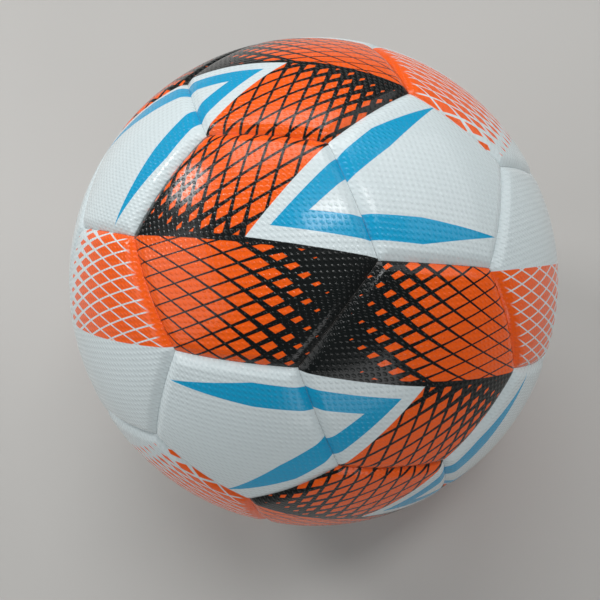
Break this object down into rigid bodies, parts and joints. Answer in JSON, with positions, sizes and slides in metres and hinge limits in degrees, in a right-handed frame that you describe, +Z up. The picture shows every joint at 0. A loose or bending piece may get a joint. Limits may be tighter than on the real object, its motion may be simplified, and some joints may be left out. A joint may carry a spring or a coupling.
{
  "type": "soccer ball",
  "caption": "Soccer ball: bonded pentagon and hexagon cover panels over foam, a fabric carcass, a rubber bladder and a push-in inflation valve.",
  "frame": {"origin": "centre of the ball", "axes": "+X runs out through the valve, along the fivefold axis of the panel layout; +Z is up as the ball lies"},
  "size_m": [0.2199, 0.22, 0.22],
  "materials": {
    "cover_white": "embossed satin-gloss polyurethane, cool white",
    "cover_belt": "embossed satin-gloss polyurethane, orange and black print",
    "cover_end": "embossed satin-gloss polyurethane, orange and white print",
    "foam": "closed-cell foam",
    "seam_adhesive": "cured hot-melt adhesive",
    "carcass_fabric": "rubber-coated woven polyester",
    "bladder_rubber": "matt butyl rubber",
    "housing_rubber": "matt moulded rubber",
    "core_rubber": "smooth moulded rubber",
    "patch_rubber": "matt moulded rubber"
  },
  "bodies": {
    "ball": {"valve_end_pentagon": "cover_white", "far_end_pentagon": "cover_white", "valve_end_hexagon_1": "cover_end", "valve_end_hexagon_2": "cover_end", "valve_end_hexagon_3": "cover_end", "valve_end_hexagon_4": "cover_end", "valve_end_hexagon_5": "cover_end", "valve_side_pentagon_1": "cover_white", "valve_side_pentagon_2": "cover_white", "valve_side_pentagon_3": "cover_white", "valve_side_pentagon_4": "cover_white", "valve_side_pentagon_5": "cover_white", "valve_belt_hexagon_1": "cover_belt", "valve_belt_hexagon_2": "cover_belt", "valve_belt_hexagon_3": "cover_belt", "valve_belt_hexagon_4": "cover_belt", "valve_belt_hexagon_5": "cover_belt", "far_end_hexagon_1": "cover_end", "far_end_hexagon_2": "cover_end", "far_end_hexagon_3": "cover_end", "far_end_hexagon_4": "cover_end", "far_end_hexagon_5": "cover_end", "far_side_pentagon_1": "cover_white", "far_side_pentagon_2": "cover_white", "far_side_pentagon_3": "cover_white", "far_side_pentagon_4": "cover_white", "far_side_pentagon_5": "cover_white", "far_belt_hexagon_1": "cover_belt", "far_belt_hexagon_2": "cover_belt", "far_belt_hexagon_3": "cover_belt", "far_belt_hexagon_4": "cover_belt", "far_belt_hexagon_5": "cover_belt", "pentagon_foams": "foam", "hexagon_foams": "foam", "seam_bonds": "seam_adhesive", "carcass": "carcass_fabric", "bladder": "bladder_rubber", "valve_housing": "housing_rubber", "balance_patch": "patch_rubber"},
    "valve_core": {"valve_core": "core_rubber"}
  },
  "joints": [
    {"name": "valve_core_pull", "type": "slide", "parent": "ball", "child": "valve_core", "axis": [1, 0, 0], "range_m": [0, 0.016]}
  ]
}
